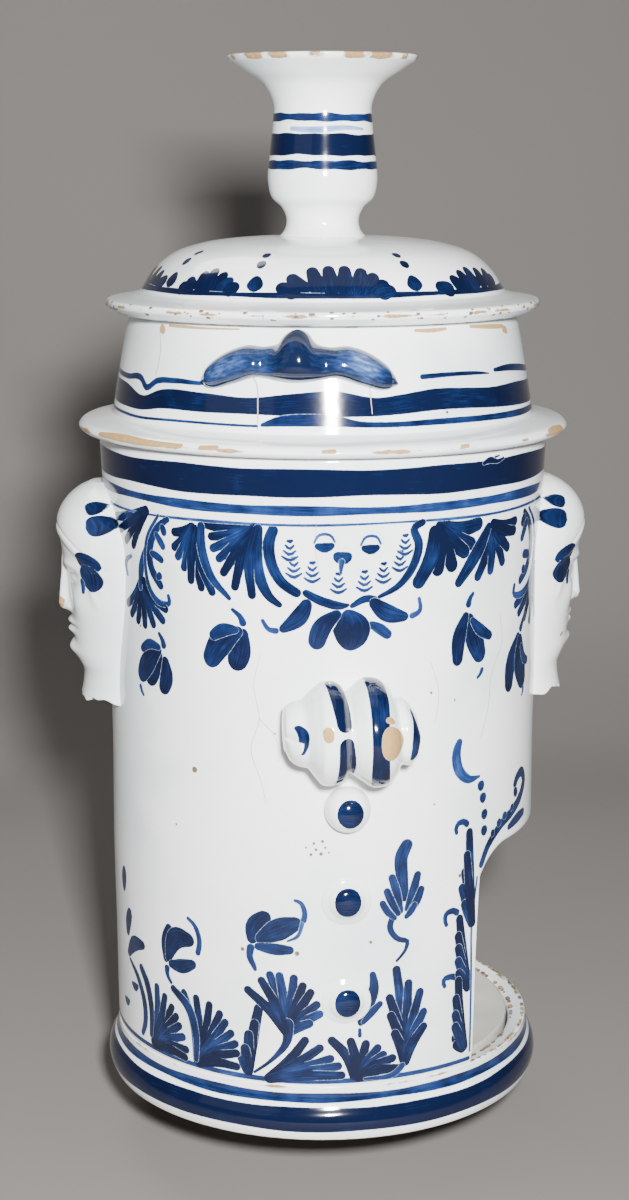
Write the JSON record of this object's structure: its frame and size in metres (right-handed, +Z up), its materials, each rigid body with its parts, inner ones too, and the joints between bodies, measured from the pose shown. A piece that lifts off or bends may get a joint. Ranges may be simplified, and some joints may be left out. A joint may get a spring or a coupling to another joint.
{
  "type": "food warmer",
  "caption": "Cylindrical glazed earthenware food warmer: a stove with a doorway, moulded masks and shell handles, a loose bowl, a lid with a candle socket, and a small oil lamp inside.",
  "frame": {"origin": "centre of the foot's underside", "axes": "+Z up along the pot's axis; +X out of the doorway, under the front mask; -Y at the near shell handle"},
  "size_m": [0.1594, 0.1726, 0.3],
  "materials": {
    "tin_glaze": "glossy tin glaze, faintly blue-grey",
    "cobalt_glaze": "painted cobalt under a glossy glaze",
    "bare_clay": "unglazed buff clay, where the glaze has chipped",
    "tinplate": "dulled tinned sheet",
    "wick_cotton": "woven cotton, charred at its top"
  },
  "bodies": {
    "stove": {"stove_wall": "tin_glaze", "foot_ring": "tin_glaze", "stove_floor": "tin_glaze", "mask_front": "tin_glaze", "mask_back": "tin_glaze", "shell_handle_near": "tin_glaze", "shell_handle_far": "tin_glaze", "handle_boss_near": "tin_glaze", "handle_boss_far": "tin_glaze", "wall_studs_near": "tin_glaze", "wall_studs_far": "tin_glaze"},
    "bowl": {"food_bowl": "tin_glaze", "bowl_floor": "tin_glaze", "bowl_collar": "tin_glaze", "bowl_handle_near": "cobalt_glaze", "bowl_handle_far": "cobalt_glaze"},
    "lid": {"lid_dome": "tin_glaze", "lid_bezel": "tin_glaze", "candle_socket": "tin_glaze"},
    "lamp": {"lamp_cup": "tin_glaze", "lamp_handle": "tin_glaze"},
    "wick": {"wick_plate": "tinplate", "wick_tube": "tinplate", "wick": "wick_cotton"}
  },
  "joints": [
    {"name": "bowl_lift", "type": "slide", "parent": "stove", "child": "bowl", "axis": [0, 0, 1], "range_m": [0, 0.09]},
    {"name": "lid_lift", "type": "slide", "parent": "bowl", "child": "lid", "axis": [0, 0, 1], "range_m": [0, 0.045]},
    {"name": "lamp_slide", "type": "slide", "parent": "stove", "child": "lamp", "axis": [1, 0, 0], "range_m": [0, 0.12]},
    {"name": "wick_lift", "type": "slide", "parent": "lamp", "child": "wick", "axis": [0, 0, 1], "range_m": [0, 0.03]}
  ]
}
